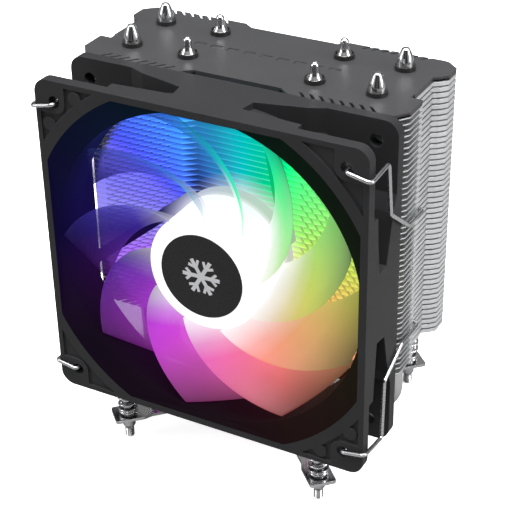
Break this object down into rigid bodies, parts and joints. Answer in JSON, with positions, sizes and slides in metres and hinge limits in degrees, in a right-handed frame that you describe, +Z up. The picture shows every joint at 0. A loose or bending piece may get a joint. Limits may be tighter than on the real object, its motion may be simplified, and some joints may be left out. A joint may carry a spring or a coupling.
{
  "type": "cpu tower cooler",
  "caption": "Single-tower heat-pipe processor cooler with a clipped-on lit axial fan, black top cover and spring-screw mounting brackets.",
  "frame": {"origin": "centre of the cold plate's contact face", "axes": "+Z up, away from the processor; the fan blows from -Y to +Y; +X to the right when facing the fan"},
  "size_m": [0.1234, 0.0967, 0.1519],
  "materials": {
    "fan_plastic": "fine matt moulded texture",
    "label_film": "printed film without lettering",
    "board": "solder-masked board",
    "led_lens": "clear lens over white chip",
    "bearing_bronze": "sintered bronze",
    "core_steel": "plain turned or stamped steel",
    "coil_copper": "enamelled copper winding",
    "hub_diffuser": "milky translucent diffuser",
    "blade_diffuser": "frosted translucent plastic lit by coloured light",
    "badge_gloss": "dark satin disc",
    "badge_mark": "pale print",
    "magnet": "bonded ferrite",
    "cover_black": "matt black coating",
    "fin_aluminium": "bright rolled sheet",
    "pipe_nickel": "nickel plating on copper",
    "collar_black": "black press-on collar",
    "plate_nickel": "nickel plating on copper, milled face",
    "block_aluminium": "milled",
    "bracket_nickel": "nickel-plated spring steel",
    "screw_black": "black oxide",
    "screw_nickel": "nickel-plated steel",
    "spring_steel": "nickel-plated spring wire",
    "ring_steel": "spring steel",
    "clip_wire": "drawn spring wire"
  },
  "bodies": {
    "root": {"fan_frame": "fan_plastic", "fan_label": "label_film", "fan_board": "board", "fan_leds": "led_lens", "bearing_sleeve": "bearing_bronze", "stator_core": "core_steel", "stator_coils": "coil_copper", "top_cover": "cover_black", "fins_a": "fin_aluminium", "fins_b": "fin_aluminium", "heat_pipe_1": "pipe_nickel", "heat_pipe_2": "pipe_nickel", "heat_pipe_3": "pipe_nickel", "heat_pipe_4": "pipe_nickel", "pipe_collars": "collar_black", "cold_plate": "plate_nickel", "clamp_block": "block_aluminium", "bracket_front": "bracket_nickel", "bracket_rear": "bracket_nickel", "bracket_screws": "screw_black", "spring_fl": "spring_steel", "spring_fr": "spring_steel", "spring_rl": "spring_steel", "spring_rr": "spring_steel"},
    "rotor": {"rotor_hub": "hub_diffuser", "fan_blades": "blade_diffuser", "hub_badge": "badge_gloss", "hub_mark": "badge_mark", "magnet_ring": "magnet", "yoke_ring": "core_steel", "motor_shaft": "core_steel", "shaft_clip": "core_steel"},
    "left_clip": {"clip_left": "clip_wire"},
    "right_clip": {"clip_right": "clip_wire"},
    "travel_fl": {"ring_fl": "ring_steel"},
    "turn_fl": {"screw_fl": "screw_nickel"},
    "travel_fr": {"ring_fr": "ring_steel"},
    "turn_fr": {"screw_fr": "screw_nickel"},
    "travel_rl": {"ring_rl": "ring_steel"},
    "turn_rl": {"screw_rl": "screw_nickel"},
    "travel_rr": {"ring_rr": "ring_steel"},
    "turn_rr": {"screw_rr": "screw_nickel"}
  },
  "joints": [
    {"name": "rotor_spin", "type": "hinge", "parent": "root", "child": "rotor", "pos_m": [0, -0.0365, 0.0805], "axis": [0, -1, 0], "continuous": true},
    {"name": "left_clip_swing", "type": "hinge", "parent": "root", "child": "left_clip", "pos_m": [-0.0525, -0.0501, 0.0805], "axis": [0, 0, 1], "range_deg": [0, 20]},
    {"name": "right_clip_swing", "type": "hinge", "parent": "root", "child": "right_clip", "pos_m": [0.0525, -0.0501, 0.0805], "axis": [0, 0, -1], "range_deg": [0, 20]},
    {"name": "screw_fl_push", "type": "slide", "parent": "root", "child": "travel_fl", "axis": [0, 0, -1], "range_m": [0, 0.0045], "stiffness_N_per_m": 3000, "springref_m": -0.003, "deforming": ["spring_fl"]},
    {"name": "screw_fl_turn", "type": "hinge", "parent": "travel_fl", "child": "turn_fl", "pos_m": [-0.039, -0.039, 0.01], "axis": [0, 0, 1], "continuous": true},
    {"name": "screw_fr_push", "type": "slide", "parent": "root", "child": "travel_fr", "axis": [0, 0, -1], "range_m": [0, 0.0045], "stiffness_N_per_m": 3000, "springref_m": -0.003, "deforming": ["spring_fr"]},
    {"name": "screw_fr_turn", "type": "hinge", "parent": "travel_fr", "child": "turn_fr", "pos_m": [0.039, -0.039, 0.01], "axis": [0, 0, 1], "continuous": true},
    {"name": "screw_rl_push", "type": "slide", "parent": "root", "child": "travel_rl", "axis": [0, 0, -1], "range_m": [0, 0.0045], "stiffness_N_per_m": 3000, "springref_m": -0.003, "deforming": ["spring_rl"]},
    {"name": "screw_rl_turn", "type": "hinge", "parent": "travel_rl", "child": "turn_rl", "pos_m": [-0.039, 0.039, 0.01], "axis": [0, 0, 1], "continuous": true},
    {"name": "screw_rr_push", "type": "slide", "parent": "root", "child": "travel_rr", "axis": [0, 0, -1], "range_m": [0, 0.0045], "stiffness_N_per_m": 3000, "springref_m": -0.003, "deforming": ["spring_rr"]},
    {"name": "screw_rr_turn", "type": "hinge", "parent": "travel_rr", "child": "turn_rr", "pos_m": [0.039, 0.039, 0.01], "axis": [0, 0, 1], "continuous": true}
  ]
}
